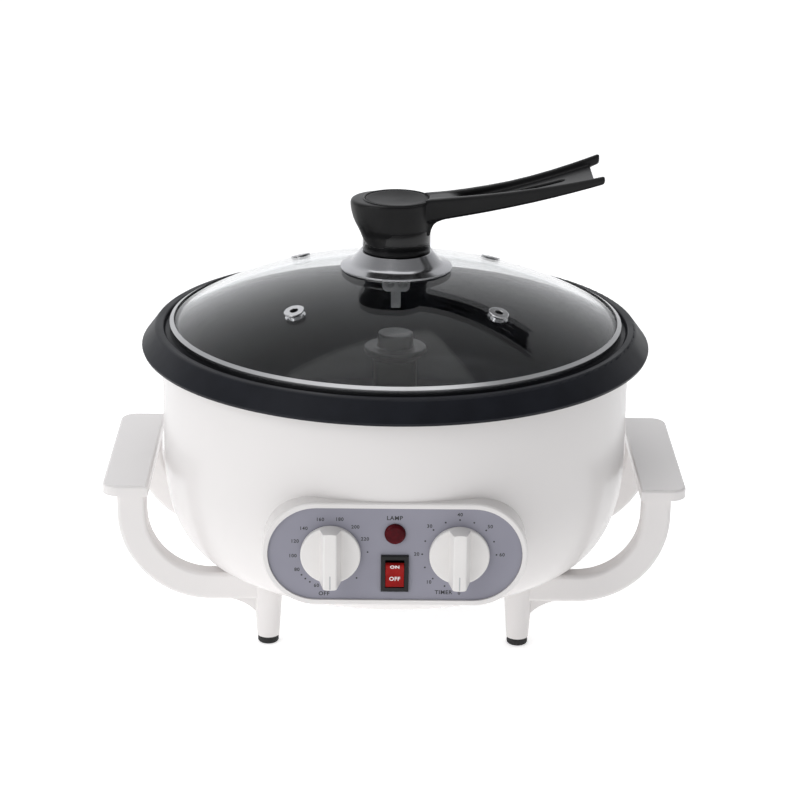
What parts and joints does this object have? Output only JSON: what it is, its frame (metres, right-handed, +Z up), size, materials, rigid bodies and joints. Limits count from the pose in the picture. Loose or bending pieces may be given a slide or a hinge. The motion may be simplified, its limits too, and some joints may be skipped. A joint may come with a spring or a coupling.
{
  "type": "home coffee bean roaster",
  "caption": "Round white countertop roaster with a dark pan, driven stirrer, domed glass lift-off lid with a long-armed black knob, side handles on legs and a grey control panel.",
  "frame": {"origin": "on the surface that the roaster stands on, under the axis of the pan", "axes": "+X to the right seen from the front, +Y from the controls to the back, +Z up along the pan's axis"},
  "size_m": [0.331, 0.2942, 0.2698],
  "materials": {
    "white_body": "glossy white moulded plastic",
    "white_knob": "satin white moulded plastic",
    "pan_coating": "dark matte non-stick coating",
    "glass": "clear tempered glass",
    "satin_steel": "satin stainless steel",
    "plated_steel": "zinc-plated steel",
    "black_phenolic": "matte black heat-resistant plastic",
    "grey_fascia": "matte grey printed plastic",
    "black_plastic": "glossy black plastic",
    "red_lens": "dark red translucent plastic",
    "red_rocker": "translucent red plastic",
    "black_rubber": "black rubber",
    "heater_sheath": "dull green-grey metal sheath",
    "bright_sheet": "bright aluminium sheet",
    "bronze": "sintered bronze",
    "stirrer_coating": "dark coated cast aluminium",
    "beige_plastic": "beige heat-resistant plastic",
    "fuse_ceramic": "white ceramic-filled body",
    "pin_brass": "nickel-plated brass",
    "white_washer": "translucent silicone"
  },
  "bodies": {
    "base": {"body_bowl": "white_body", "bottom_cover": "plated_steel", "cover_screws": "plated_steel", "side_handle_left": "white_body", "side_handle_right": "white_body", "handle_screws": "plated_steel", "rubber_feet": "black_rubber", "roasting_pan": "pan_coating", "heating_element": "heater_sheath", "element_clamps": "plated_steel", "heat_reflector": "bright_sheet", "support_posts": "plated_steel", "pan_studs": "plated_steel", "stud_spacers": "plated_steel", "stud_nuts": "plated_steel", "thermal_fuse": "fuse_ceramic", "thermostat_bulb": "satin_steel", "motor_bracket": "plated_steel", "gear_motor": "plated_steel", "motor_screws": "plated_steel", "shaft_bush": "bronze", "control_fascia": "grey_fascia", "thermostat_body": "beige_plastic", "timer_body": "beige_plastic", "lamp_lens": "red_lens", "lamp_body": "black_plastic", "rocker_housing": "black_plastic", "mains_inlet": "black_plastic", "inlet_pins": "pin_brass", "terminal_block": "beige_plastic"},
    "lid": {"lid_glass": "glass", "lid_rim": "satin_steel", "vent_grommets": "satin_steel", "lid_cone": "satin_steel", "lid_knob": "black_phenolic", "knob_cap": "black_phenolic", "lid_bolt": "satin_steel", "glass_washers": "white_washer", "hanger_block": "satin_steel", "hanger_bar": "satin_steel", "block_screws": "satin_steel"},
    "temperature_control": {"temperature_knob": "white_knob", "thermostat_shaft": "satin_steel"},
    "timer_control": {"timer_knob": "white_knob", "timer_shaft": "satin_steel"},
    "power_rocker": {"rocker": "red_rocker"},
    "stirrer": {"drive_shaft": "satin_steel", "stirrer_hub": "stirrer_coating", "stirrer_blades": "stirrer_coating"}
  },
  "joints": [
    {"name": "lid_lift", "type": "slide", "parent": "base", "child": "lid", "axis": [0, 0, 1], "range_m": [0, 0.15]},
    {"name": "temperature_turn", "type": "hinge", "parent": "base", "child": "temperature_control", "pos_m": [-0.0347, -0.135, 0.088], "axis": [0, 1, 0], "range_deg": [0, 312]},
    {"name": "timer_turn", "type": "hinge", "parent": "base", "child": "timer_control", "pos_m": [0.0347, -0.135, 0.088], "axis": [0, 1, 0], "range_deg": [0, 270]},
    {"name": "rocker_press", "type": "hinge", "parent": "base", "child": "power_rocker", "pos_m": [0, -0.1344, 0.077], "axis": [-1, 0, 0], "range_deg": [0, 22]},
    {"name": "stirrer_spin", "type": "hinge", "parent": "base", "child": "stirrer", "pos_m": [0, 0, 0.12], "axis": [0, 0, 1], "continuous": true}
  ]
}
